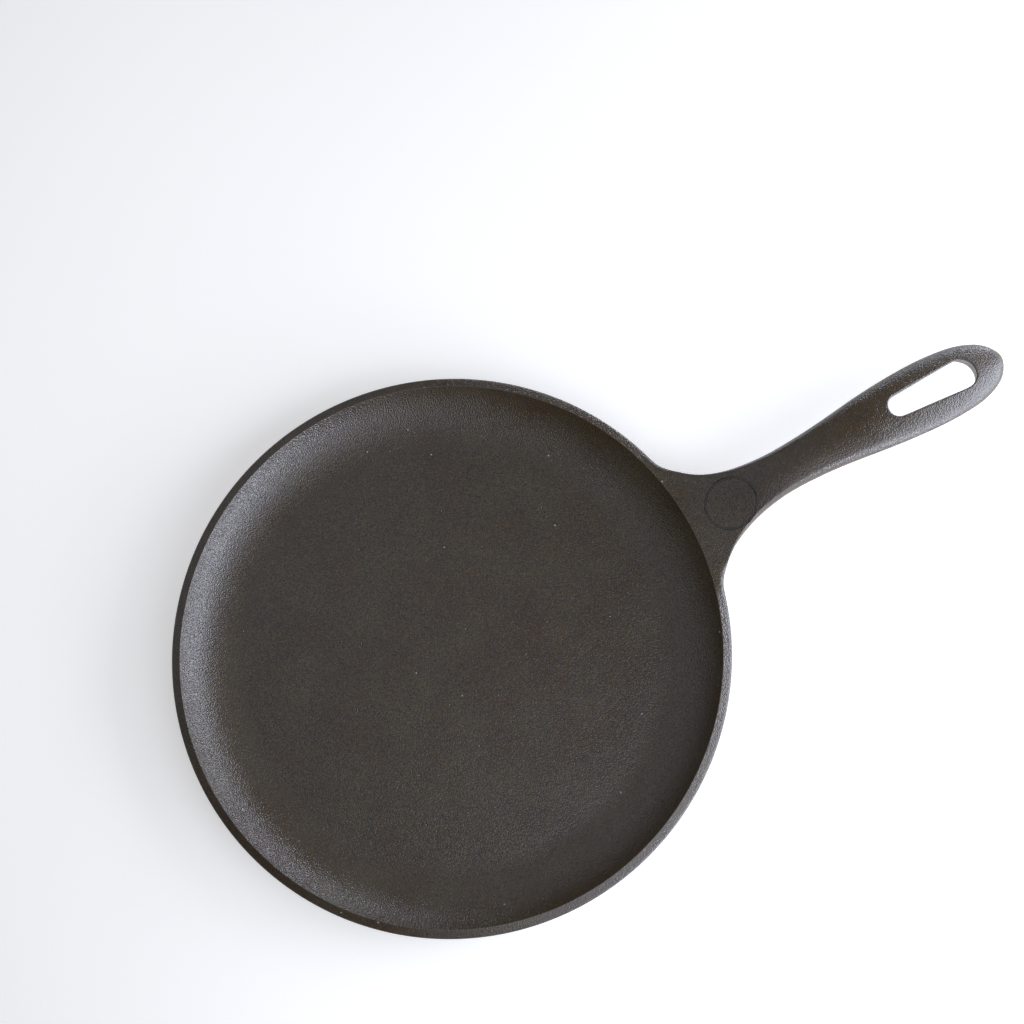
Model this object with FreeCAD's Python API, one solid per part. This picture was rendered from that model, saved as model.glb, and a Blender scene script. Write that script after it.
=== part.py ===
import FreeCAD, Part
import math
import os

# Cast-iron comal: a flat round griddle with a low curved wall and one arched handle that ends in a pierced loop.
# Millimetres. The origin is the centre of the underside, +X runs to the handle's tip, +Z is up.
# The real thing is one casting. Its five regions are separate solids that meet face to face.

V = FreeCAD.Vector
UP = V(0, 0, 1)

# Pan: a rim of 10.5 inches across
RIM_R = 133.35
LAND_WIDTH = 4.25
PLATE_R = 100.0
PLATE_T = 4.0
HOLLOW_DEPTH = 15.0
RIM_ROUND_R = 1.0
LAND_Z = PLATE_T + HOLLOW_DEPTH
HOLLOW_R = RIM_R - LAND_WIDTH

# Concave wall: an arc that leaves the cooking face at PLATE_R and ends at the land's inner edge
WALL_RUN = HOLLOW_R - PLATE_R
WALL_ARC_R = (WALL_RUN**2 + HOLLOW_DEPTH**2) / (2 * HOLLOW_DEPTH)
WALL_ARC_Z = PLATE_T + WALL_ARC_R

# Handle stations, chosen along the arch: x, half width, top line above the land, thickness, squareness
HANDLE_STATIONS = (
    (118.0, 42.0, -0.3, 7.2, 6.0),
    (125.0, 38.5, 0.0, 9.4, 6.0),
    (129.5, 32.8, 0.0, 10.8, 6.0),
    (134.0, 27.2, 0.1, 11.6, 5.0),
    (141.0, 20.9, 1.4, 12.0, 4.2),
    (149.0, 16.6, 4.3, 12.2, 3.5),
    (158.0, 13.4, 8.4, 12.2, 3.0),
    (170.0, 11.1, 13.5, 12.2, 2.7),
    (185.0, 10.5, 17.5, 12.2, 2.5),
    (205.0, 12.0, 19.7, 12.3, 2.4),
    (222.0, 14.2, 19.8, 12.4, 2.4),
    (240.0, 15.9, 18.3, 12.4, 2.4),
    (258.0, 16.7, 15.8, 12.2, 2.4),
    (272.0, 16.1, 13.3, 11.8, 2.4),
    (282.0, 14.7, 11.1, 11.2, 2.4),
    (289.5, 12.1, 9.0, 10.2, 2.4),
    (294.5, 8.9, 7.3, 8.8, 2.4),
    (297.6, 5.0, 5.8, 6.6, 2.4),
    (299.0, 1.6, 4.3, 4.2, 2.4),
)
TOP_SHARE = 0.53
ROOT_HALF_WIDTH = 32.8
SECTION_POINTS = 20
GRIP_START_X = 172.0
LOOP_START_X = 228.0

# Tapered hanging slot, wider at its outer end
SLOT_START_X = 235.2
SLOT_END_X = 283.0
SLOT_START_R = 5.3
SLOT_END_R = 7.2
SLOT_EDGE_R = 1.2

# Round incised ring on the handle's root
RING_X = 150.5
RING_R = 12.4
RING_WIDTH = 1.0
RING_DEPTH = 0.5

# Height of the cutting blocks, and how close counts as touching
TALL = 80.0
TOUCH = 0.1


def revolved(edges):
    """Turn a closed outline in the XZ plane about the Z axis."""
    return Part.Face(Part.Wire(edges)).revolve(V(0, 0, 0), UP, 360)


def line(start, end):
    return Part.LineSegment(V(start[0], 0, start[1]), V(end[0], 0, end[1])).toShape()


def wall_point(radius, r):
    """The point of a wall arc of the given radius at distance r from the axis."""
    return (r, WALL_ARC_Z - math.sqrt(radius**2 - (r - PLATE_R) ** 2))


def wall_arc(radius, start_r, end_r):
    middle = wall_point(radius, (start_r + end_r) / 2)
    points = [wall_point(radius, start_r), middle, wall_point(radius, end_r)]
    return Part.Arc(*[V(r, 0, z) for r, z in points]).toShape()


def cooking_plate():
    return Part.makeCylinder(PLATE_R, PLATE_T)


def outer_body():
    """All that lies inside the pan's outer surface, carried up past the rim: it trims the handle's root."""
    outer_arc_r = WALL_ARC_R + PLATE_T
    rim_foot = wall_point(outer_arc_r, RIM_R)
    return revolved([
        line((0, 0), (PLATE_R, 0)),
        wall_arc(outer_arc_r, PLATE_R, RIM_R),
        line(rim_foot, (RIM_R, TALL)),
        line((RIM_R, TALL), (0, TALL)),
        line((0, TALL), (0, 0)),
    ])


def rim_wall():
    """The curved wall and its flat land. The land's outer edge is rounded except where the handle joins it."""
    outer_arc_r = WALL_ARC_R + PLATE_T
    rim_foot = wall_point(outer_arc_r, RIM_R)
    wall = revolved([
        line((PLATE_R, PLATE_T), (PLATE_R, 0)),
        wall_arc(outer_arc_r, PLATE_R, RIM_R),
        line(rim_foot, (RIM_R, LAND_Z)),
        line((RIM_R, LAND_Z), (HOLLOW_R, LAND_Z)),
        wall_arc(WALL_ARC_R, HOLLOW_R, PLATE_R),
    ])
    return wall.cut(edge_round_tool()).Solids[0]


def edge_round_tool():
    """The corner that rounding takes off the land's outer edge, all round but for the handle's sector."""
    centre_r = RIM_R - RIM_ROUND_R
    centre_z = LAND_Z - RIM_ROUND_R
    half_r = RIM_ROUND_R * math.sqrt(0.5)
    arc = Part.Arc(
        V(centre_r, 0, LAND_Z),
        V(centre_r + half_r, 0, centre_z + half_r),
        V(RIM_R, 0, centre_z),
    ).toShape()
    outside = RIM_R + RIM_ROUND_R
    above = LAND_Z + RIM_ROUND_R
    corner = Part.Face(Part.Wire([
        arc,
        line((RIM_R, centre_z), (outside, centre_z)),
        line((outside, centre_z), (outside, above)),
        line((outside, above), (centre_r, above)),
        line((centre_r, above), (centre_r, LAND_Z)),
    ]))
    sector = math.degrees(math.asin(ROOT_HALF_WIDTH / RIM_R))
    corner.rotate(V(0, 0, 0), UP, sector)
    return corner.revolve(V(0, 0, 0), UP, 360 - 2 * sector)


def section(x, half_width, top_over_land, thickness, squareness):
    """One closed handle section across X, a rounded outline between an ellipse and a box."""
    rise = thickness * TOP_SHARE
    drop = thickness - rise
    points = []
    for step in range(SECTION_POINTS):
        turn = 2 * math.pi * step / SECTION_POINTS
        across = math.copysign(abs(math.cos(turn)) ** (2 / squareness), math.cos(turn))
        height = math.copysign(abs(math.sin(turn)) ** (2 / squareness), math.sin(turn))
        z = LAND_Z + top_over_land - rise + height * (rise if height > 0 else drop)
        points.append(V(x, across * half_width, z))
    curve = Part.BSplineCurve()
    curve.interpolate(Points=points, PeriodicFlag=True)
    return Part.Wire([curve.toShape()])


def slab(start_x, end_x):
    """A block across the whole handle between two X planes."""
    return Part.makeBox(end_x - start_x, 2 * RIM_R, TALL, V(start_x, -RIM_R, 0))


def slot_tool():
    """The tapered slot as a tall prism: two end arcs joined by their common tangents."""
    start = V(SLOT_START_X + SLOT_START_R, 0, 0)
    end = V(SLOT_END_X - SLOT_END_R, 0, 0)
    lean = math.asin((SLOT_END_R - SLOT_START_R) / (end.x - start.x))
    side = V(-math.sin(lean), math.cos(lean), 0)
    mirrored = V(side.x, -side.y, 0)
    outline = Part.Wire([
        Part.Arc(start + side * SLOT_START_R, V(SLOT_START_X, 0, 0), start + mirrored * SLOT_START_R).toShape(),
        Part.LineSegment(start + mirrored * SLOT_START_R, end + mirrored * SLOT_END_R).toShape(),
        Part.Arc(end + mirrored * SLOT_END_R, V(SLOT_END_X, 0, 0), end + side * SLOT_END_R).toShape(),
        Part.LineSegment(end + side * SLOT_END_R, start + side * SLOT_START_R).toShape(),
    ])
    return Part.Face(outline).extrude(V(0, 0, TALL))


def rounded_slot(loop):
    """Round the slot's edges on the loop's top and underside."""
    edges = []
    for edge in loop.Edges:
        box = edge.BoundBox
        beside_slot = box.XMin > SLOT_START_X - TOUCH and box.XMax < SLOT_END_X + TOUCH
        upright = box.XLength < TOUCH
        if beside_slot and not upright:
            edges.append(edge)
    return loop.makeFillet(SLOT_EDGE_R, edges)


def ring_groove(handle):
    """A shallow ring that keeps its depth below the curved top of the handle's root."""
    outer = Part.makeCylinder(RING_R + RING_WIDTH / 2, TALL, V(RING_X, 0, 0))
    inner = Part.makeCylinder(RING_R - RING_WIDTH / 2, TALL, V(RING_X, 0, 0))
    skin = handle.cut(handle.translated(V(0, 0, -RING_DEPTH)))
    return outer.cut(inner).common(skin)


def handle_regions():
    whole = Part.makeLoft([section(*station) for station in HANDLE_STATIONS], True, False)
    tip_x = HANDLE_STATIONS[-1][0]
    root = whole.common(slab(0, GRIP_START_X))
    neck = root.cut(ring_groove(root)).cut(outer_body()).Solids[0]
    grip = whole.common(slab(GRIP_START_X, LOOP_START_X)).Solids[0]
    blank = whole.common(slab(LOOP_START_X, tip_x + 1))
    loop = rounded_slot(blank.cut(slot_tool()).Solids[0])
    return neck, grip, loop


def main():
    os.makedirs("parts", exist_ok=True)
    neck, grip, loop = handle_regions()
    nodes = {
        "cooking_plate": cooking_plate(),
        "rim_wall": rim_wall(),
        "handle_neck": neck,
        "handle_grip": grip,
        "hanging_loop": loop,
    }
    for name, shape in nodes.items():
        shape.exportStep(f"parts/{name}.step")
        print(name, shape.ShapeType, len(shape.Solids), shape.isValid(), round(shape.Volume / 1000, 1), "cm3")


if __name__ == "__main__":
    main()
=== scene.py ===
import math

import bmesh
import bpy
from bpy.props import FloatProperty, FloatVectorProperty, PointerProperty
from mathutils import Euler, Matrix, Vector
from mathutils.bvhtree import BVHTree


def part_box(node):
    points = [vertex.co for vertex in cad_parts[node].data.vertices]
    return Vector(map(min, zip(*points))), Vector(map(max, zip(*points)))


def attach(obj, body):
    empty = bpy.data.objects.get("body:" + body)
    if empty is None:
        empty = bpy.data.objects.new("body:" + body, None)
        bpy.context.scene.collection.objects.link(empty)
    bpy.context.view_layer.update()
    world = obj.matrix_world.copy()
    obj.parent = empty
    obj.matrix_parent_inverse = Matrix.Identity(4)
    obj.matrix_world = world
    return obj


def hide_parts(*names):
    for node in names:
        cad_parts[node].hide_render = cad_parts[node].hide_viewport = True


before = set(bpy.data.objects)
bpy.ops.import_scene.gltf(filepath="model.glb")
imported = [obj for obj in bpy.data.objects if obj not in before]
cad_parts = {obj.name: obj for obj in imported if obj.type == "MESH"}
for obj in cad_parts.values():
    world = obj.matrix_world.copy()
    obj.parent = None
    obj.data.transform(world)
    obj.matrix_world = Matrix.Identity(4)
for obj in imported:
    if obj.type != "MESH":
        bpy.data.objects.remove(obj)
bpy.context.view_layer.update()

bl_info = {
    "name": "Cast-Iron Comal",
    "version": (1, 0, 0),
    "blender": (4, 5, 0),
    "location": "3D View > Sidebar > Comal",
    "description": "Models a seasoned cast-iron comal over its construction model, in a plain studio",
    "category": "Add Mesh",
}

# Sizes read from the construction model, in metres
MM = 0.001
PLATE_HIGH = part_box("cooking_plate")[1]
WALL_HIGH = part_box("rim_wall")[1]
LOOP_LOW, LOOP_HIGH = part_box("hanging_loop")
PLATE_R = PLATE_HIGH.x
PLATE_T = PLATE_HIGH.z
RIM_R = WALL_HIGH.y
LAND_Z = WALL_HIGH.z
GRIP_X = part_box("handle_grip")[0].x
LOOP_X = LOOP_LOW.x
TIP_X = LOOP_HIGH.x

# How close counts as the same place, and as the same height
TOUCH = 0.01 * MM
NEAR = 0.1 * MM

# What lies further out than this belongs to the handle
OUTSIDE_RIM = RIM_R + 0.2 * MM

# A face whose normal rises this much counts as facing up
FACING_UP = 0.3

# The five regions of the one casting, each a closed piece that stands for the node of the same name
REGIONS = ("cooking_plate", "rim_wall", "handle_neck", "handle_grip", "hanging_loop")

# Steps of the mesh: the handle's root takes COLUMNS of the rim's steps, and its side has SIDE_ROWS faces
RIM_STEPS = 128
COLUMNS = 10
SIDE_ROWS = 5
DISC_SPAN = 32
SMOOTH_LEVELS = 2
ROOT_HALF_ANGLE = math.pi * COLUMNS / RIM_STEPS

# Rings of the pan's half section: on the flats, as shares of their radius, and up the hollow's arc
FLAT_RINGS = (0.64, 0.80, 0.92, 0.975)
HOLLOW_RINGS = 10

# Rings on the outer arc, in degrees from its foot. The handle's root reaches down to ROOT_TURN
ROOT_TURN = 38.2
OUTER_TURNS = (48, ROOT_TURN, 31, 24, 17, 10, 4, 0)

# The ring near the land's outer edge, in edge roundings in from the rim
LAND_RING = 1.8

# Rings round the land's outer edge, in edge roundings in from the rim and down from the shoulder
# The widest starts outside the rim, because smoothing draws it in
EDGE_RINGS = ((0.25, 0.4), (-0.1, 0.95), (0.3, 1.7))

# Handle stations along the arch: x, half width, top above the land and thickness in mm, and roundness
HANDLE_STATIONS = (
    (134.0, 27.2, 0.1, 11.6, 0.15),
    (141.0, 20.9, 1.4, 12.0, 0.22),
    (149.0, 16.6, 4.3, 12.2, 0.34),
    (158.0, 13.4, 8.4, 12.2, 0.48),
    (170.0, 11.1, 13.5, 12.2, 0.62),
    (185.0, 10.5, 17.5, 12.2, 0.75),
    (205.0, 12.0, 19.7, 12.3, 0.83),
    (222.0, 14.2, 19.8, 12.4, 0.86),
    (240.0, 15.9, 18.3, 12.4, 0.92),
    (258.0, 16.7, 15.8, 12.2, 0.96),
    (272.0, 16.1, 13.3, 11.8, 0.98),
    (282.0, 14.7, 11.1, 11.2, 0.98),
    (289.5, 12.1, 9.0, 10.2, 0.98),
    (294.5, 8.9, 7.3, 8.8, 0.98),
    (297.6, 5.0, 5.8, 6.6, 0.98),
    (299.0, 1.6, 4.3, 4.2, 0.98),
)

# The neck's sides lean in, as the pattern's draft: its underside is this share of its top's width
UNDERSIDE_SHARE = 0.86

# Where the handle's rings lie along X in mm, apart from those round the slot
ROOT_RINGS = (134.0, 138.0, 143.0, 149.0, 156.0, 163.0)
GRIP_RINGS = (172.0, 181.0, 196.0, 210.0, 221.0, 228.0)
TIP_RINGS = (290.0, 294.5, 297.4, 298.6)

# The small face that closes the tip: its half width, and its top and bottom in shares of the last ring
TIP_HALF_WIDTH = 0.8 * MM
TIP_TOP = 0.25
TIP_BOTTOM = 0.75

# How firmly the handle's top edges are held between two places along it, in mm
HELD_EDGES = (
    (133, 164, 0.36),
    (162, 182, 0.26),
    (180, 197, 0.16),
)

# The slot's mouth takes this many of the cage's columns each side of its middle, and steps between its end arcs
MOUTH_COLUMNS = 3
SLOT_STEPS = 5

# Each end arc has one ring, this share of its radius out, and its points fan out by this turn
END_RING = 0.8
FAN_TURN = math.radians(22.5)

# How far beyond the end arcs' centres rings belong to the mouth, and how deep its lip is, in slot roundings
MOUTH_REACH = 8 * MM
LIP_DEPTH = 1.5

# Height over the handle from which points are dropped onto it
DROP_HEIGHT = 50 * MM

# The incised ring is cut by two tall drums. Their side faces are larger than any face of the casting there
RING_STEPS = 96
CUTTER_LOW = LAND_Z - 0.8 * MM
CUTTER_HIGH = LAND_Z + 30 * MM
CUTTER_FACE = 15 * MM**2

# An edge of this radius or less is marked as fully sharp
SHARP_RADIUS = 1.2 * MM

# The values of a pattern or of edge_bend between which its effect comes in
SAND_SPAN = (0.2, 0.8)
PATCH_SPAN = (0.35, 0.65)
RUBBED_SPAN = (0.25, 0.9)
GROOVE_SPAN = (-0.1, -0.8)

# The radius of a pit or speck in cells, where it starts to fade and ends, and how many cells hold one
DOT_SPAN = (0.06, 0.12)
PIT_CHANCE = 0.15
SPECK_CHANCE = 0.015

# Factors on the colour that paint shade: in the deepest groove, and on the tops of the grains, against hollows
# between them painted black
PAINTED_GROOVE_SHADE = 0.5
PAINTED_GRAIN_SHADE = 2.0

# How much the patches, the rubbed edges and the grains change the roughness
PATCH_GLOSS = 0.03
RUBBED_GLOSS = 0.1
SAND_GLOSS = 0.15

# Soft lights round the pan: bearing and height in degrees, distance and side in metres, power in watts
SOFT_LIGHTS = (
    ("key", 338, 15, 0.62, 0.50, 5.4),
    ("front", 278, 40, 0.42, 0.50, 1.3),
    ("front_low", 294, 6, 1.10, 0.50, 8.4),
    ("right", 27, 6, 1.20, 0.30, 3.8),
    ("right_back", 53, 6, 1.20, 0.30, 2.0),
    ("back", 123, 52, 0.42, 0.60, 0.5),
)
LIGHT_AIM = Vector((0.06, 0, 0.01))
FLOOR_SIZE = 8.0

# The camera's turn in degrees, and how far it stands beside the line through the pan's centre, in mm
CAMERA_TURN = (10.27, 2.61, -27.83)
CAMERA_ASIDE = (29.5, 65.7)


def linear(hex_colour):
    """An sRGB hex colour as linear red, green and blue."""
    channels = [int(hex_colour[i:i + 2], 16) / 255 for i in (1, 3, 5)]
    return [c / 12.92 if c <= 0.04045 else ((c + 0.055) / 1.055) ** 2.4 for c in channels]


class PanSizes(bpy.types.PropertyGroup):
    land_width: FloatProperty(
        name="Land width", description="Width of the flat land on the rim",
        default=4.25 * MM, unit="LENGTH", precision=5)
    land_fall: FloatProperty(
        name="Land fall", description="How far the land falls from its crisp inner edge to its outer edge",
        default=1.2 * MM, unit="LENGTH", precision=5)
    edge_round: FloatProperty(
        name="Edge rounding", description="Radius that the land's outer edge is rounded to",
        default=1.0 * MM, unit="LENGTH", precision=5)
    edge_hold: FloatProperty(
        name="Inner edge", description="How near the mesh is held to the land's crisp inner edge",
        default=0.35 * MM, unit="LENGTH", precision=5)


class HandleSizes(bpy.types.PropertyGroup):
    slot_start: FloatProperty(
        name="Slot start", description="Distance from the pan's centre to the slot's near end",
        default=235.2 * MM, unit="LENGTH", precision=5)
    slot_end: FloatProperty(
        name="Slot end", description="Distance from the pan's centre to the slot's far end",
        default=283.0 * MM, unit="LENGTH", precision=5)
    slot_start_radius: FloatProperty(
        name="Near end radius", description="Radius of the slot's narrow end",
        default=5.3 * MM, unit="LENGTH", precision=5)
    slot_end_radius: FloatProperty(
        name="Far end radius", description="Radius of the slot's wide end",
        default=7.2 * MM, unit="LENGTH", precision=5)
    slot_round: FloatProperty(
        name="Slot rounding", description="How far the slot's edges are rounded",
        default=1.2 * MM, unit="LENGTH", precision=5)
    slot_draft: FloatProperty(
        name="Slot draft", description="How much further out each side of the slot lies below than on top",
        default=1.2 * MM, unit="LENGTH", precision=5)
    slot_offset: FloatProperty(
        name="Slot offset", description="How far the slot lies off the handle's middle",
        default=0.6 * MM, unit="LENGTH", precision=5)
    ring_x: FloatProperty(
        name="Ring place", description="Distance from the pan's centre to the incised ring's centre",
        default=150.5 * MM, unit="LENGTH", precision=5)
    ring_radius: FloatProperty(
        name="Ring radius", description="Radius of the incised ring",
        default=11.9 * MM, unit="LENGTH", precision=5)
    ring_offset: FloatProperty(
        name="Ring offset", description="How far the incised ring lies off the handle's middle",
        default=-1.4 * MM, unit="LENGTH", precision=5)
    ring_width: FloatProperty(
        name="Ring width", description="Width of the ring's groove",
        default=1.4 * MM, unit="LENGTH", precision=5)
    ring_depth: FloatProperty(
        name="Ring depth", description="Depth of the ring's groove",
        default=0.7 * MM, unit="LENGTH", precision=5)


class IronFinish(bpy.types.PropertyGroup):
    iron: FloatVectorProperty(
        name="Iron", description="Colour of the seasoned iron",
        subtype="COLOR", size=3, default=linear("#3b301d"))
    brown: FloatVectorProperty(
        name="Brown", description="Colour where the oil has baked thicker and browner",
        subtype="COLOR", size=3, default=linear("#372816"))
    worn: FloatVectorProperty(
        name="Worn edge", description="Colour of edges that handling has rubbed",
        subtype="COLOR", size=3, default=linear("#5a5650"))
    speck: FloatVectorProperty(
        name="Speck", description="Colour of the few pale specks of mould sand and dust",
        subtype="COLOR", size=3, default=linear("#b3aca2"))
    grain_size: FloatProperty(
        name="Grain size", description="Size of a grain of the moulding sand's print",
        default=0.6 * MM, unit="LENGTH", precision=5)
    grain_depth: FloatProperty(
        name="Grain depth", description="Depth of the moulding sand's print",
        default=0.22 * MM, unit="LENGTH", precision=5)
    # The pit colour is painted shade in the bottom of the pits
    pit: FloatVectorProperty(
        name="Pit", description="Colour in the bottom of a pit",
        subtype="COLOR", size=3, default=linear("#191410"))
    edge_wear: FloatProperty(
        name="Edge wear", description="How far the sharpest edges are rubbed",
        default=0.3, subtype="FACTOR", min=0.0, max=1.0)
    roughness: FloatProperty(
        name="Roughness", description="Roughness of the satin film of baked oil",
        default=0.31, subtype="FACTOR", min=0.0, max=1.0)
    film: FloatProperty(
        name="Film", description="Specular level of the film of baked oil",
        default=0.9, subtype="FACTOR", min=0.0, max=1.0)
    wave_size: FloatProperty(
        name="Wave size", description="Width of the slow unevenness of the cast skin",
        default=7 * MM, unit="LENGTH", precision=5)
    wave_depth: FloatProperty(
        name="Wave depth", description="Depth of the slow unevenness of the cast skin",
        default=0.10 * MM, unit="LENGTH", precision=5)
    pit_spacing: FloatProperty(
        name="Pit spacing", description="Size of the cells that may each hold one pit or one speck",
        default=4 * MM, unit="LENGTH", precision=5)
    patch_size: FloatProperty(
        name="Patch size", description="Size of the browner patches of the seasoning",
        default=26 * MM, unit="LENGTH", precision=5)


class StudioSizes(bpy.types.PropertyGroup):
    distance: FloatProperty(
        name="Camera distance", description="From the camera to the plane of the rim along the view",
        default=0.85, unit="LENGTH")
    lens: FloatProperty(
        name="Lens", description="Focal length on a 36 mm wide sensor, in mm",
        default=63.1)
    brightness: FloatProperty(
        name="Brightness", description="Factor on the power of all the soft lights",
        default=1.0, subtype="FACTOR", min=0.0)
    surroundings: FloatVectorProperty(
        name="Surroundings", description="Colour of the surroundings, a warm white",
        subtype="COLOR", size=3, default=linear("#fffaf2"))
    ambient: FloatProperty(
        name="Ambient", description="Brightness of the white surroundings",
        default=0.12, min=0.0)
    light: FloatVectorProperty(
        name="Light", description="Colour of the soft lights, a slightly cool daylight",
        subtype="COLOR", size=3, default=linear("#e3ebff"))
    floor_glow: FloatProperty(
        name="Floor glow", description="Light that comes up through the paper, as on a light table",
        default=0.38, min=0.0)
    floor: FloatVectorProperty(
        name="Floor", description="Colour of the plain pale floor",
        subtype="COLOR", size=3, default=linear("#f6f3ec"))


def start_clean():
    """Leave edit mode and deselect everything."""
    if bpy.context.object and bpy.context.object.mode != "OBJECT":
        bpy.ops.object.mode_set(mode="OBJECT")
    bpy.ops.object.select_all(action="DESELECT")


def make_active(obj):
    start_clean()
    obj.select_set(True)
    bpy.context.view_layer.objects.active = obj


def select_where(obj, kind, wanted):
    """In edit mode, select the vertices, edges or faces for which wanted(item) holds, and count them."""
    bpy.ops.mesh.select_mode(type=kind)
    bpy.ops.mesh.select_all(action="DESELECT")
    mesh = bmesh.from_edit_mesh(obj.data)
    items = {"VERT": mesh.verts, "EDGE": mesh.edges, "FACE": mesh.faces}[kind]
    found = [item for item in items if wanted(item)]
    for item in found:
        item.select_set(True)
    bmesh.update_edit_mesh(obj.data)
    return len(found)


def selected_box(obj):
    """Lowest and highest corner of the selected vertices."""
    mesh = bmesh.from_edit_mesh(obj.data)
    points = [v.co for v in mesh.verts if v.select]
    low = Vector([min(p[i] for p in points) for i in range(3)])
    high = Vector([max(p[i] for p in points) for i in range(3)])
    return low, high


def hollow_arc(sizes):
    """How far the hollow's arc runs outwards from the flat, and its radius."""
    run = RIM_R - sizes.land_width - PLATE_R
    depth = LAND_Z - PLATE_T
    return run, (run**2 + depth**2) / (2 * depth)


def pan_profile(sizes):
    """The pan's half section as (radius, height), from the cooking face over the land to the underside."""
    run, arc_r = hollow_arc(sizes)
    hollow_r = RIM_R - sizes.land_width
    outer_r = arc_r + PLATE_T

    def inner(turn):
        return (PLATE_R + arc_r * math.sin(turn), PLATE_T + arc_r * (1 - math.cos(turn)))

    def outer(turn):
        return (PLATE_R + outer_r * math.sin(turn), outer_r * (1 - math.cos(turn)))

    end = math.asin(run / arc_r)
    points = [(PLATE_R * share, PLATE_T) for share in FLAT_RINGS]
    points += [inner(end * i / HOLLOW_RINGS) for i in range(HOLLOW_RINGS)]
    points.append(inner(end - sizes.edge_hold / arc_r))
    shoulder_r = RIM_R - sizes.edge_round
    slope = sizes.land_fall / (shoulder_r - hollow_r)
    for r in (hollow_r, hollow_r + sizes.edge_hold, RIM_R - LAND_RING * sizes.edge_round, shoulder_r):
        points.append((r, LAND_Z - slope * (r - hollow_r)))
    corner_z = LAND_Z - sizes.land_fall
    for inward, down in EDGE_RINGS:
        points.append((RIM_R - inward * sizes.edge_round, corner_z - down * sizes.edge_round))
    points += [outer(math.radians(turn)) for turn in OUTER_TURNS]
    points += [(PLATE_R * share, 0.0) for share in reversed(FLAT_RINGS)]
    return points


def outer_wall_face(sizes):
    """A test for the faces of the pan's outer wall that the handle's root takes the place of."""
    arc_r = hollow_arc(sizes)[1]
    lowest = (arc_r + PLATE_T) * (1 - math.cos(math.radians(ROOT_TURN)))
    outside = arc_r + PLATE_T / 2 - 1 * MM

    def wanted(face):
        centre = face.calc_center_median()
        if abs(math.atan2(centre.y, centre.x)) > ROOT_HALF_ANGLE:
            return False
        r = math.hypot(centre.x, centre.y)
        from_arc = math.hypot(r - PLATE_R, centre.z - PLATE_T - arc_r)
        on_land = r < RIM_R - sizes.edge_round and centre.z > LAND_Z - sizes.land_fall - NEAR
        return from_arc > outside and centre.z > lowest and not on_land

    return wanted


def on_level_land(point, sizes):
    """Whether a point is on the land where it runs level into the handle's root."""
    r = math.hypot(point.x, point.y)
    on_land = RIM_R - sizes.land_width - TOUCH < r < RIM_R - 0.9 * sizes.edge_round
    in_root = abs(math.atan2(point.y, point.x)) < ROOT_HALF_ANGLE + 0.01
    return on_land and in_root and point.z > LAND_Z - 1.05 * sizes.land_fall


def model_pan(sizes):
    """The plate and wall: one ring drawn out along the half section, its two ends filled with grids."""
    profile = pan_profile(sizes)
    start_clean()
    bpy.ops.mesh.primitive_circle_add(vertices=RIM_STEPS, radius=profile[0][0])
    pan = bpy.context.object
    pan.name = "casting"
    bpy.ops.object.mode_set(mode="EDIT")
    bpy.ops.mesh.select_all(action="SELECT")
    bpy.ops.transform.translate(value=(0, 0, profile[0][1]))
    for (r, z), (next_r, next_z) in zip(profile, profile[1:]):
        bpy.ops.mesh.extrude_edges_move()
        bpy.ops.transform.resize(value=(next_r / r, next_r / r, 1), center_override=(0, 0, z))
        bpy.ops.transform.translate(value=(0, 0, next_z - z))
    for level in (PLATE_T, 0.0):
        select_where(pan, "EDGE", lambda e: e.is_boundary and abs(e.verts[0].co.z - level) < NEAR)
        bpy.ops.mesh.fill_grid(span=DISC_SPAN)
    bpy.ops.mesh.select_all(action="SELECT")
    bpy.ops.mesh.normals_make_consistent(inside=False)
    select_where(pan, "VERT", lambda v: on_level_land(v.co, sizes))
    bpy.ops.transform.resize(value=(1, 1, 0), center_override=(0, 0, LAND_Z))
    count = select_where(pan, "FACE", outer_wall_face(sizes))
    wanted_count = COLUMNS * SIDE_ROWS
    if count != wanted_count:
        raise RuntimeError(f"the handle's root should take {wanted_count} faces of the wall, not {count}")
    bpy.ops.mesh.delete(type="FACE")
    bpy.ops.object.mode_set(mode="OBJECT")
    return pan


def station_at(x):
    """Half width, top and thickness in metres and roundness at x, on a smooth curve through the stations."""
    table = HANDLE_STATIONS
    i = max(k for k in range(len(table) - 1) if table[k][0] * MM <= x + 1e-9)
    a, b = table[i], table[i + 1]
    before = table[max(i - 1, 0)]
    after = table[min(i + 2, len(table) - 1)]
    span = b[0] - a[0]
    t = (x / MM - a[0]) / span
    values = []
    for k in (1, 2, 3, 4):
        lead = (b[k] - before[k]) / (b[0] - before[0]) * span
        trail = (after[k] - a[k]) / (after[0] - a[0]) * span
        value = (2 * t**3 - 3 * t**2 + 1) * a[k] + (t**3 - 2 * t**2 + t) * lead
        value += (-2 * t**3 + 3 * t**2) * b[k] + (t**3 - t**2) * trail
        values.append(value)
    half_width, over_land, thickness, roundness = values
    return half_width * MM, LAND_Z + over_land * MM, thickness * MM, roundness


def slot_centres(sizes):
    """The centres of the slot's two end arcs, along X."""
    return sizes.slot_start + sizes.slot_start_radius, sizes.slot_end - sizes.slot_end_radius


def slot_half_width(sizes, x, margin=0.0):
    """Half the slot's width between its end arcs, with a margin."""
    near, far = slot_centres(sizes)
    t = min(max((x - near) / (far - near), 0), 1)
    return margin + sizes.slot_start_radius + t * (sizes.slot_end_radius - sizes.slot_start_radius)


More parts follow.
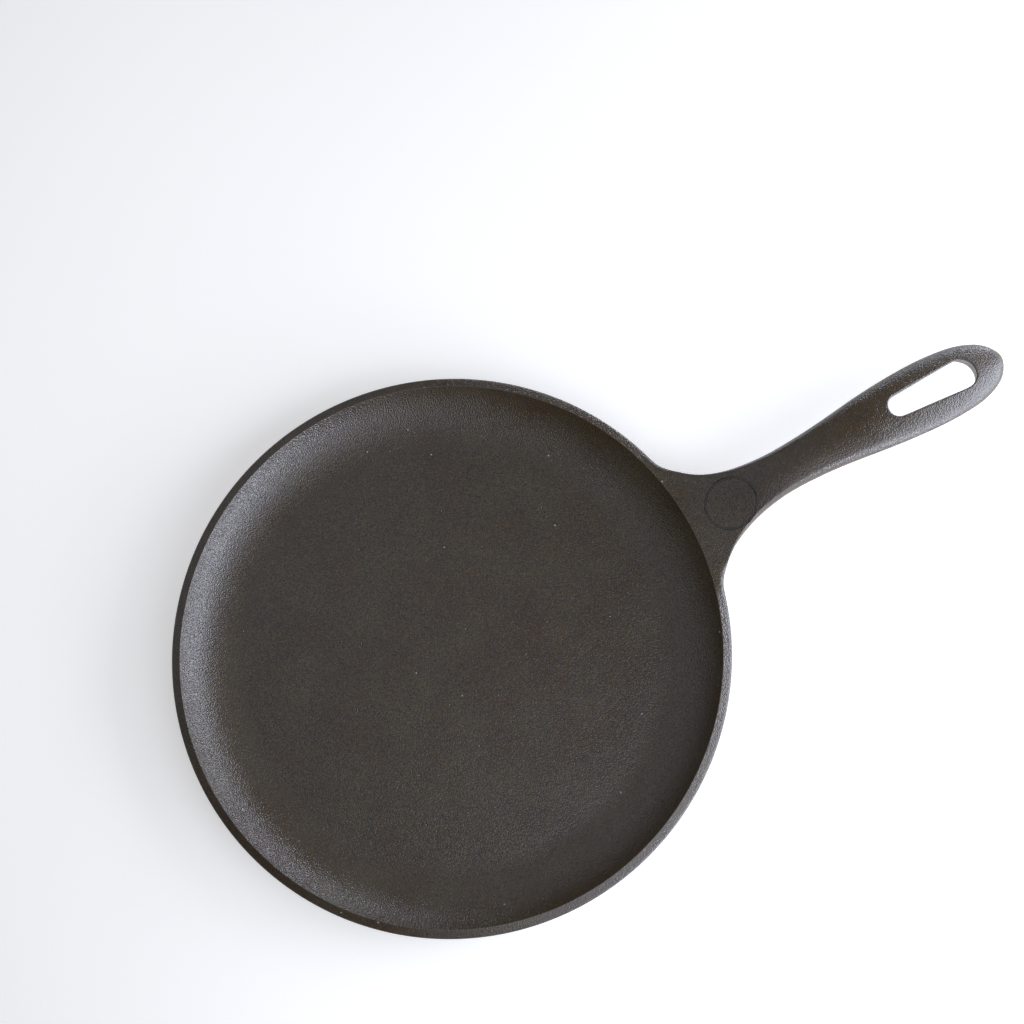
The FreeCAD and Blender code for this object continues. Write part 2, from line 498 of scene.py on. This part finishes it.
def cage_places(sizes):
    """Where the handle's rings lie along X: close where it flares, at the regions' ends, round the slot."""
    near, far = slot_centres(sizes)
    near_end = near - END_RING * (sizes.slot_start_radius + sizes.slot_round)
    far_end = far + END_RING * (sizes.slot_end_radius + sizes.slot_round)
    along = [near + (far - near) * i / SLOT_STEPS for i in range(SLOT_STEPS + 1)]
    before = [x * MM for x in ROOT_RINGS + GRIP_RINGS]
    return before + [near_end, *along, far_end] + [x * MM for x in TIP_RINGS]


def fit_section(obj, x, half_width, low_z, high_z):
    """Size and move the selected ring to one place along the handle."""
    low, high = selected_box(obj)
    middle = (low + high) / 2
    ratio = (1, 2 * half_width / (high.y - low.y), (high_z - low_z) / (high.z - low.z))
    bpy.ops.transform.resize(value=ratio, center_override=middle)
    bpy.ops.transform.translate(value=(x - middle.x, -middle.y, (low_z + high_z) / 2 - middle.z))


def round_section(obj, amount):
    """Make the selected ring as high as it is wide, and turn it some of the way towards a circle."""
    low, high = selected_box(obj)
    middle = (low + high) / 2
    half = (high.y - low.y) / 2
    fit_section(obj, middle.x, half, middle.z - half, middle.z + half)
    bpy.ops.transform.tosphere(value=amount)


def model_handle(sizes):
    """The handle: a box-shaped ring drawn out along the arch, sized and made rounder at each place."""
    start_clean()
    bpy.ops.mesh.primitive_plane_add(size=20 * MM, rotation=(0, math.radians(90), 0))
    handle = bpy.context.object
    handle.name = "handle"
    bpy.ops.object.transform_apply(location=False, rotation=True, scale=False)
    bpy.ops.object.mode_set(mode="EDIT")
    bpy.ops.mesh.select_all(action="SELECT")
    bpy.ops.mesh.delete(type="ONLY_FACE")
    select_where(handle, "VERT", lambda v: v.co.z < 0)
    bpy.ops.transform.resize(value=(1, UNDERSIDE_SHARE, 1), center_override=(0, 0, 0))
    select_where(handle, "EDGE", lambda e: abs(e.verts[0].co.z - e.verts[1].co.z) < 1e-6)
    bpy.ops.mesh.subdivide(number_cuts=COLUMNS - 1)
    select_where(handle, "EDGE", lambda e: e.verts[0].co.y * e.verts[1].co.y > 0 and
                 abs(e.verts[0].co.z - e.verts[1].co.z) > 1 * MM)
    bpy.ops.mesh.subdivide(number_cuts=SIDE_ROWS - 1)
    bpy.ops.mesh.select_all(action="SELECT")
    rounded = 0.0
    for i, x in enumerate(cage_places(sizes)):
        half_width, top, thickness, roundness = station_at(x)
        if i:
            bpy.ops.mesh.extrude_edges_move()
        step = (roundness - rounded) / (1 - rounded)
        if step > 0.001:
            round_section(handle, step)
            rounded = roundness
        fit_section(handle, x, half_width, top - thickness, top)
    bpy.ops.mesh.extrude_edges_move()
    fit_section(handle, TIP_X, TIP_HALF_WIDTH, top - thickness * TIP_BOTTOM, top - thickness * TIP_TOP)
    bpy.ops.mesh.edge_face_add()
    hold_top_edges(handle)
    bpy.ops.object.mode_set(mode="OBJECT")
    return handle


def top_corners(handle):
    """The places of the top corners: on each side of each ring, the point furthest out and up."""
    corners = {}
    for v in bmesh.from_edit_mesh(handle.data).verts:
        x = min(max(v.co.x, HANDLE_STATIONS[0][0] * MM), TIP_X)
        half_width, top, thickness, _ = station_at(x)
        reach = abs(v.co.y) / half_width + (v.co.z - top + thickness / 2) / (thickness / 2)
        key = (round(v.co.x / MM, 2), v.co.y > 0)
        if key not in corners or reach > corners[key][0]:
            corners[key] = (reach, tuple(v.co))
    return {place for _, place in corners.values()}


def hold_top_edges(handle):
    """Keep the neck's two top edges crisp when it is smoothed, and let them grow rounder along the grip."""
    corners = top_corners(handle)
    for start, end, crease in HELD_EDGES:
        count = select_where(handle, "EDGE", lambda e: all(
            tuple(v.co) in corners and start < v.co.x / MM < end for v in e.verts))
        if not count:
            raise RuntimeError(f"no top edge to hold between {start} and {end} mm")
        bpy.ops.transform.edge_crease(value=crease)


def join_at_root(pan, handle):
    """Join the handle to the hole in the pan's wall, ring to ring."""
    make_active(pan)
    handle.select_set(True)
    bpy.ops.object.join()
    bpy.ops.object.mode_set(mode="EDIT")
    select_where(pan, "EDGE", lambda e: e.is_boundary)
    bpy.ops.mesh.bridge_edge_loops()
    bpy.ops.mesh.select_all(action="SELECT")
    bpy.ops.mesh.normals_make_consistent(inside=False)
    bpy.ops.object.mode_set(mode="OBJECT")


def mouth_margin(sizes, side):
    """How far outside the slot's outline its mouth is drawn, on top (side 1) or underneath (side -1)."""
    return sizes.slot_round + (sizes.slot_draft if side < 0 else 0)


def place_mouth(casting, sizes, side):
    """Move the cage's points round one mouth of the slot onto its outline, and keep them on the surface."""
    mesh = bmesh.from_edit_mesh(casting.data)
    surface = BVHTree.FromBMesh(mesh)
    near, far = slot_centres(sizes)
    margin = mouth_margin(sizes, side)
    half_columns = COLUMNS // 2
    for x in cage_places(sizes):
        if not near - MOUTH_REACH < x < far + MOUTH_REACH:
            continue
        ring = [v for v in mesh.verts if abs(v.co.x - x) < TOUCH]
        middle = sum(v.co.z for v in ring) / len(ring)
        row = sorted((v for v in ring if (v.co.z - middle) * side > 0), key=lambda v: abs(v.co.y))
        row = sorted(row[:COLUMNS + 1], key=lambda v: v.co.y)
        half_width = slot_half_width(sizes, x, margin)
        corner = row[-1].co.y
        along = near - TOUCH < x < far + TOUCH
        edge = half_width * (1 if along else math.sin(MOUTH_COLUMNS * FAN_TURN))
        for index, v in zip(range(-half_columns, half_columns + 1), row):
            turn = FAN_TURN * index
            if abs(index) > MOUTH_COLUMNS + 1:
                continue
            if abs(index) == MOUTH_COLUMNS + 1:
                outer = (edge + math.copysign(sizes.slot_offset, index) + corner) / 2
                place = (x, math.copysign(outer, index) - sizes.slot_offset)
            elif along:
                place = (x, half_width * index / MOUTH_COLUMNS)
            elif x < near:
                place = (near - half_width * math.cos(turn), half_width * math.sin(turn))
            else:
                place = (far + half_width * math.cos(turn), half_width * math.sin(turn))
            start = Vector((place[0], place[1] + sizes.slot_offset, middle + side * DROP_HEIGHT))
            v.co = surface.ray_cast(start, Vector((0, 0, -side)))[0]
    bmesh.update_edit_mesh(casting.data)


def open_slot(casting, sizes):
    """The hanging slot: its mouth is inset and sunk on both faces, and the two mouths are bridged."""
    make_active(casting)
    bpy.ops.object.mode_set(mode="EDIT")
    near, far = slot_centres(sizes)

    def in_mouth(side):
        margin = mouth_margin(sizes, side)
        start = near - slot_half_width(sizes, near, margin)
        end = far + slot_half_width(sizes, far, margin)

        def wanted(face):
            c = face.calc_center_median()
            across = abs(c.y - sizes.slot_offset) < slot_half_width(sizes, c.x, margin)
            return start < c.x < end and across and face.normal.z * side > FACING_UP

        return wanted

    for side in (1, -1):
        place_mouth(casting, sizes, side)
        bmesh.from_edit_mesh(casting.data).normal_update()
        select_where(casting, "FACE", in_mouth(side))
        bpy.ops.mesh.inset(thickness=sizes.slot_round, depth=0.0, use_even_offset=True)
        sunk = (0, 0, -side * LIP_DEPTH * sizes.slot_round)
        bpy.ops.mesh.extrude_region_move(TRANSFORM_OT_translate={"value": sunk})
        bpy.ops.mesh.delete(type="FACE")
    select_where(casting, "EDGE", lambda e: e.is_boundary)
    bpy.ops.mesh.bridge_edge_loops(number_cuts=1)
    bpy.ops.mesh.select_all(action="SELECT")
    bpy.ops.mesh.normals_make_consistent(inside=False)
    bpy.ops.object.mode_set(mode="OBJECT")


class COMAL_OT_pan(bpy.types.Operator):
    """Model the plate and its curved wall"""

    bl_idname = "comal.pan"
    bl_label = "Plate and Wall"

    def execute(self, context):
        model_pan(context.scene.comal_pan)
        return {"FINISHED"}


class COMAL_OT_handle(bpy.types.Operator):
    """Model the arched handle, join it to the wall and open its hanging slot"""

    bl_idname = "comal.handle"
    bl_label = "Handle"

    def execute(self, context):
        pan = bpy.data.objects["casting"]
        sizes = context.scene.comal_handle
        join_at_root(pan, model_handle(sizes))
        open_slot(pan, sizes)
        return {"FINISHED"}


def region_of(centre, corners):
    """The place in REGIONS of a face of the cage, from its centre and its corners."""
    if max(c.x for c in corners) > OUTSIDE_RIM:
        return REGIONS.index("handle_neck") + (centre.x > GRIP_X) + (centre.x > LOOP_X)
    return int(math.hypot(centre.x, centre.y) > PLATE_R)


def smooth_casting(casting):
    """Number the cage's faces by region, and subdivide it to its finished smoothness."""
    make_active(casting)
    for face in casting.data.polygons:
        corners = [casting.data.vertices[i].co for i in face.vertices]
        face.material_index = region_of(face.center, corners)
    for name in REGIONS:
        casting.data.materials.append(bpy.data.materials.new(name))
    smooth = casting.modifiers.new("Smooth", "SUBSURF")
    smooth.levels = SMOOTH_LEVELS
    smooth.render_levels = SMOOTH_LEVELS
    bpy.ops.object.modifier_apply(modifier=smooth.name)


def sink_ring(casting, sizes):
    """The incised ring: two circles are cut into the neck's top, and the strip between them is sunk."""
    inner = sizes.ring_radius - sizes.ring_width / 2
    outer = sizes.ring_radius + sizes.ring_width / 2

    def from_ring(point):
        return math.hypot(point.x - sizes.ring_x, point.y - sizes.ring_offset)

    make_active(casting)
    bpy.ops.object.mode_set(mode="EDIT")
    bpy.ops.mesh.select_all(action="DESELECT")
    for radius in (inner, outer):
        bpy.ops.mesh.primitive_cylinder_add(
            vertices=RING_STEPS, radius=radius, depth=CUTTER_HIGH - CUTTER_LOW, end_fill_type="NOTHING",
            location=(sizes.ring_x, sizes.ring_offset, (CUTTER_LOW + CUTTER_HIGH) / 2))
    select_where(casting, "FACE", lambda f: f.calc_area() > CUTTER_FACE and
                 f.calc_center_median().z > LAND_Z + 5 * MM)
    bpy.ops.mesh.intersect(mode="SELECT_UNSELECT", separate_mode="CUT", solver="EXACT")
    select_where(casting, "FACE", lambda f: abs(f.normal.z) < 1e-4 and min(
        abs(from_ring(v.co) - r) for v in f.verts for r in (inner, outer)) < 1e-6)
    bpy.ops.mesh.delete(type="FACE")

    def in_strip(face):
        centre = face.calc_center_median()
        reach = [from_ring(v.co) for v in face.verts]
        near = min(reach) > inner - 0.05 * MM and max(reach) < outer + 0.05 * MM
        return near and centre.z > CUTTER_LOW and face.normal.z > FACING_UP

    select_where(casting, "FACE", in_strip)
    bpy.ops.mesh.extrude_region_shrink_fatten(TRANSFORM_OT_shrink_fatten={"value": -sizes.ring_depth})
    bpy.ops.object.mode_set(mode="OBJECT")


def place_key(point):
    return tuple(round(c / MM, 3) for c in point)


def close_ends(piece):
    """Close a region's ends: a band round the plate, a patch on the wall, a face across the handle."""
    make_active(piece)
    bpy.ops.object.mode_set(mode="EDIT")

    def at_plate(edge):
        return edge.is_boundary and math.hypot(edge.verts[0].co.x, edge.verts[0].co.y) < PLATE_R + 1 * MM

    def at_wall(edge):
        return edge.is_boundary and not at_plate(edge) and edge.verts[0].co.x < OUTSIDE_RIM

    if select_where(piece, "EDGE", at_plate):
        bpy.ops.mesh.bridge_edge_loops()
    if select_where(piece, "EDGE", at_wall):
        bpy.ops.mesh.fill_grid(span=2**SMOOTH_LEVELS * COLUMNS)
    for x in (GRIP_X, LOOP_X):
        if select_where(piece, "EDGE", lambda e: e.is_boundary and abs(e.verts[0].co.x - x) < 2 * MM):
            bpy.ops.mesh.edge_face_add()
    bpy.ops.object.mode_set(mode="OBJECT")


def split_regions(casting):
    """Part the casting into its five regions, close their ends, and keep the shading smooth across joins."""
    seamless = {place_key(v.co): v.normal.copy() for v in casting.data.vertices}
    make_active(casting)
    bpy.ops.mesh.separate(type="MATERIAL")
    pieces = sorted(bpy.context.selected_objects, key=lambda o: REGIONS.index(o.data.materials[0].name))
    for piece, node in zip(pieces, REGIONS):
        piece.name = f"{node}_casting"
        piece.data.name = piece.name
        skin = len(piece.data.polygons)
        close_ends(piece)
        bpy.ops.object.shade_smooth_by_angle(angle=math.radians(40))
        mesh = piece.data
        normals = [corner.vector.copy() for corner in mesh.corner_normals]
        ends = {v for polygon in mesh.polygons[skin:] for v in polygon.vertices}
        for polygon in mesh.polygons[:skin]:
            for corner in polygon.loop_indices:
                vertex = mesh.loops[corner].vertex_index
                if vertex in ends:
                    normals[corner] = seamless[place_key(mesh.vertices[vertex].co)]
        mesh.normals_split_custom_set(normals)
    return pieces


def mark_edges(casting):
    """Write how sharply each point bends: +1 on a sharp outer edge, 0 on a flat, -1 in a sharp groove."""
    make_active(casting)
    vertices = casting.data.vertices
    bends = [0.0] * len(vertices)
    counts = [0] * len(vertices)
    for edge in casting.data.edges:
        a, b = (vertices[i] for i in edge.vertices)
        along = b.co - a.co
        for here, way in ((a, along), (b, -along)):
            bends[here.index] -= here.normal.dot(way) / max(along.length_squared, NEAR**2)
            counts[here.index] += 1
    marks = casting.data.attributes.new("edge_bend", "FLOAT", "POINT")
    marks.data.foreach_set("value", [
        min(max(2 * bend / count * SHARP_RADIUS, -1), 1) for bend, count in zip(bends, counts)])


def add_node(tree, kind, inputs=(), **settings):
    """Add a node with its settings, and give each named or numbered input its value or its link."""
    node = tree.nodes.new(kind)
    for name, value in settings.items():
        setattr(node, name, value)
    for name, value in dict(inputs).items():
        if isinstance(value, bpy.types.NodeSocket):
            tree.links.new(value, node.inputs[name])
        else:
            node.inputs[name].default_value = value
    return node


def seasoned_iron(finish):
    """Grey iron cast in green sand and seasoned with baked oil: a dark, warm brown skin under a satin film.

    The film gives the soft, slightly cool gloss. The sand's print breaks it into glints, and the browner
    patches, the shallow waves, the pits and the rubbed edges keep it from looking painted. Painted shade
    darkens the hollows between the grains, the grooves and the bottoms of the pits.
    """
    material = bpy.data.materials.new("Seasoned sand-cast iron")
    material.use_nodes = True
    tree = material.node_tree
    shader = tree.nodes["Principled BSDF"]
    place = add_node(tree, "ShaderNodeTexCoord").outputs["Object"]

    # Moulding sand has grains of 0.2 to 0.3 mm. They are drawn coarser: a pixel here is about 0.5 mm
    sand = add_node(tree, "ShaderNodeTexNoise", {
        "Vector": place, "Scale": 1 / finish.grain_size, "Detail": 0.0}).outputs["Fac"]
    wave = add_node(tree, "ShaderNodeTexNoise", {
        "Vector": place, "Scale": 1 / finish.wave_size, "Detail": 2.0, "Roughness": 0.5}).outputs["Fac"]
    patch = add_node(tree, "ShaderNodeTexNoise", {
        "Vector": place, "Scale": 1 / finish.patch_size, "Detail": 4.0, "Roughness": 0.6}).outputs["Fac"]

    # Some cells hold a pit and a few hold a pale speck, both up to 1 mm across
    cells = add_node(tree, "ShaderNodeTexVoronoi", {"Vector": place, "Scale": 1 / finish.pit_spacing})
    pick = add_node(tree, "ShaderNodeSeparateColor", {"Color": cells.outputs["Color"]})
    dot = add_node(tree, "ShaderNodeMapRange", {
        "Value": cells.outputs["Distance"], 1: DOT_SPAN[0], 2: DOT_SPAN[1], 3: 1.0, 4: 0.0}).outputs["Result"]
    has_pit = add_node(tree, "ShaderNodeMath", {
        0: pick.outputs["Red"], 1: 1 - PIT_CHANCE}, operation="GREATER_THAN").outputs[0]
    has_speck = add_node(tree, "ShaderNodeMath", {
        0: pick.outputs["Green"], 1: 1 - SPECK_CHANCE}, operation="GREATER_THAN").outputs[0]
    pit = add_node(tree, "ShaderNodeMath", {0: dot, 1: has_pit}, operation="MULTIPLY").outputs[0]
    speck = add_node(tree, "ShaderNodeMath", {0: dot, 1: has_speck}, operation="MULTIPLY").outputs[0]

    # Outer edges are rubbed paler and smoother, and grooves are darkened with painted shade
    bend = add_node(
        tree, "ShaderNodeAttribute", attribute_name="edge_bend", attribute_type="GEOMETRY").outputs["Fac"]
    rubbed = add_node(tree, "ShaderNodeMapRange", {
        "Value": bend, 1: RUBBED_SPAN[0], 2: RUBBED_SPAN[1], 3: 0.0, 4: finish.edge_wear}).outputs["Result"]
    # Painted shade in the ring's groove and the other sharp hollows of the surface
    groove = add_node(tree, "ShaderNodeMapRange", {
        "Value": bend, 1: GROOVE_SPAN[0], 2: GROOVE_SPAN[1], 3: 1.0, 4: PAINTED_GROOVE_SHADE}).outputs["Result"]

    # Colour: browner patches, and painted shade: the hollows between the grains darker than their tops
    thick = add_node(tree, "ShaderNodeMapRange", {
        "Value": patch, 1: PATCH_SPAN[0], 2: PATCH_SPAN[1]}).outputs["Result"]
    skin = add_node(tree, "ShaderNodeMix", {
        0: thick, 6: (*finish.iron, 1), 7: (*finish.brown, 1)}, data_type="RGBA").outputs[2]
    # Painted shade: the colour goes to black in the grains' hollows and is lightened on their tops
    tops = add_node(tree, "ShaderNodeMapRange", {
        "Value": sand, 1: SAND_SPAN[0], 2: SAND_SPAN[1], 3: 0.0, 4: PAINTED_GRAIN_SHADE}).outputs["Result"]
    shade = add_node(tree, "ShaderNodeMath", {0: tops, 1: groove}, operation="MULTIPLY").outputs[0]
    skin = add_node(tree, "ShaderNodeVectorMath", {0: skin, "Scale": shade}, operation="SCALE").outputs[0]
    # Rubbed edges and pale specks, and painted shade in the bottom of the pits
    for share, colour in ((rubbed, finish.worn), (pit, finish.pit), (speck, finish.speck)):
        skin = add_node(tree, "ShaderNodeMix", {
            0: share, 6: skin, 7: (*colour, 1)}, data_type="RGBA").outputs[2]
    tree.links.new(skin, shader.inputs["Base Color"])

    # Gloss: a satin film, glossier where the oil lies thicker, on rubbed edges and on the tops of the grains
    gloss = add_node(tree, "ShaderNodeMapRange", {
        "Value": thick,
        3: finish.roughness + PATCH_GLOSS, 4: finish.roughness - PATCH_GLOSS}).outputs["Result"]
    gloss = add_node(tree, "ShaderNodeMath", {
        0: rubbed, 1: -RUBBED_GLOSS, 2: gloss}, operation="MULTIPLY_ADD").outputs[0]
    hollow = add_node(tree, "ShaderNodeMapRange", {
        "Value": sand, 1: SAND_SPAN[0], 2: SAND_SPAN[1], 3: SAND_GLOSS, 4: -SAND_GLOSS}).outputs["Result"]
    gloss = add_node(tree, "ShaderNodeMath", {0: gloss, 1: hollow}, operation="ADD").outputs[0]
    tree.links.new(gloss, shader.inputs["Roughness"])
    shader.inputs["Specular IOR Level"].default_value = finish.film

    # Relief in metres: the sand's print over slow waves, with the pits sunk into it
    relief = add_node(tree, "ShaderNodeMath", {
        0: wave, 1: finish.wave_depth}, operation="MULTIPLY").outputs[0]
    for pattern, depth in ((sand, finish.grain_depth), (pit, -finish.grain_depth)):
        relief = add_node(tree, "ShaderNodeMath", {
            0: pattern, 1: depth, 2: relief}, operation="MULTIPLY_ADD").outputs[0]
    bump = add_node(tree, "ShaderNodeBump", {"Height": relief, "Strength": 1.0, "Distance": 1.0})
    tree.links.new(bump.outputs["Normal"], shader.inputs["Normal"])
    return material


class COMAL_OT_casting(bpy.types.Operator):
    """Smooth the casting, sink the ring and part it into its five regions"""

    bl_idname = "comal.casting"
    bl_label = "Casting"

    def execute(self, context):
        casting = bpy.data.objects["casting"]
        smooth_casting(casting)
        sink_ring(casting, context.scene.comal_handle)
        mark_edges(casting)
        iron = seasoned_iron(context.scene.comal_iron)
        for piece, node in zip(split_regions(casting), REGIONS):
            piece.data.materials.clear()
            piece.data.materials.append(iron)
            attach(piece, "root")
            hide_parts(node)
        return {"FINISHED"}


class COMAL_OT_stage(bpy.types.Operator):
    """Set the floor, the soft lights and the camera"""

    bl_idname = "comal.stage"
    bl_label = "Studio"

    def execute(self, context):
        studio = context.scene.comal_studio
        start_clean()
        bpy.ops.mesh.primitive_plane_add(size=FLOOR_SIZE)
        floor = bpy.context.object
        floor.name = "floor"
        paper = bpy.data.materials.new("Pale paper floor")
        paper.use_nodes = True
        shader = paper.node_tree.nodes["Principled BSDF"]
        shader.inputs["Base Color"].default_value = (*studio.floor, 1)
        shader.inputs["Roughness"].default_value = 0.9
        shader.inputs["Emission Color"].default_value = (1, 1, 1, 1)
        shader.inputs["Emission Strength"].default_value = studio.floor_glow
        floor.data.materials.append(paper)
        world = bpy.data.worlds.new("Studio")
        context.scene.world = world
        world.use_nodes = True
        background = world.node_tree.nodes["Background"]
        background.inputs["Color"].default_value = (*studio.surroundings, 1)
        background.inputs["Strength"].default_value = studio.ambient
        for name, bearing, height, distance, side, power in SOFT_LIGHTS:
            turn = Euler((0, -math.radians(height), math.radians(bearing)), "XYZ")
            place = LIGHT_AIM + turn.to_matrix() @ Vector((distance, 0, 0))
            bpy.ops.object.light_add(type="AREA", location=place)
            light = bpy.context.object
            light.name = name
            light.data.energy = power * studio.brightness
            light.data.size = side
            light.data.color = studio.light
            light.rotation_euler = (LIGHT_AIM - place).to_track_quat("-Z", "Y").to_euler()
        camera_data = bpy.data.cameras.new("Camera")
        camera = bpy.data.objects.new("Camera", camera_data)
        context.scene.collection.objects.link(camera)
        camera_data.lens = studio.lens
        camera_data.sensor_width = 36
        turn = Euler([math.radians(angle) for angle in CAMERA_TURN], "XYZ")
        camera.rotation_euler = turn
        offset = Vector((CAMERA_ASIDE[0] * MM, CAMERA_ASIDE[1] * MM, studio.distance))
        camera.location = turn.to_matrix() @ offset + Vector((0, 0, LAND_Z))
        context.scene.camera = camera
        context.scene.view_settings.view_transform = "Standard"
        return {"FINISHED"}


class COMAL_PT_panel(bpy.types.Panel):
    bl_label = "Comal"
    bl_idname = "COMAL_PT_panel"
    bl_space_type = "VIEW_3D"
    bl_region_type = "UI"
    bl_category = "Comal"

    def draw(self, context):
        for operator in OPERATORS:
            self.layout.operator(operator.bl_idname)


GROUPS = {
    "comal_pan": PanSizes,
    "comal_handle": HandleSizes,
    "comal_iron": IronFinish,
    "comal_studio": StudioSizes,
}
OPERATORS = (COMAL_OT_pan, COMAL_OT_handle, COMAL_OT_casting, COMAL_OT_stage)


def register():
    for cls in (*GROUPS.values(), *OPERATORS, COMAL_PT_panel):
        bpy.utils.register_class(cls)
    for name, group in GROUPS.items():
        setattr(bpy.types.Scene, name, PointerProperty(type=group))


def unregister():
    for name in GROUPS:
        delattr(bpy.types.Scene, name)
    for cls in reversed((*GROUPS.values(), *OPERATORS, COMAL_PT_panel)):
        bpy.utils.unregister_class(cls)


def main():
    register()
    start_clean()
    bpy.ops.comal.pan()
    bpy.ops.comal.handle()
    bpy.ops.comal.casting()
    bpy.ops.comal.stage()


if __name__ == "__main__":
    main()
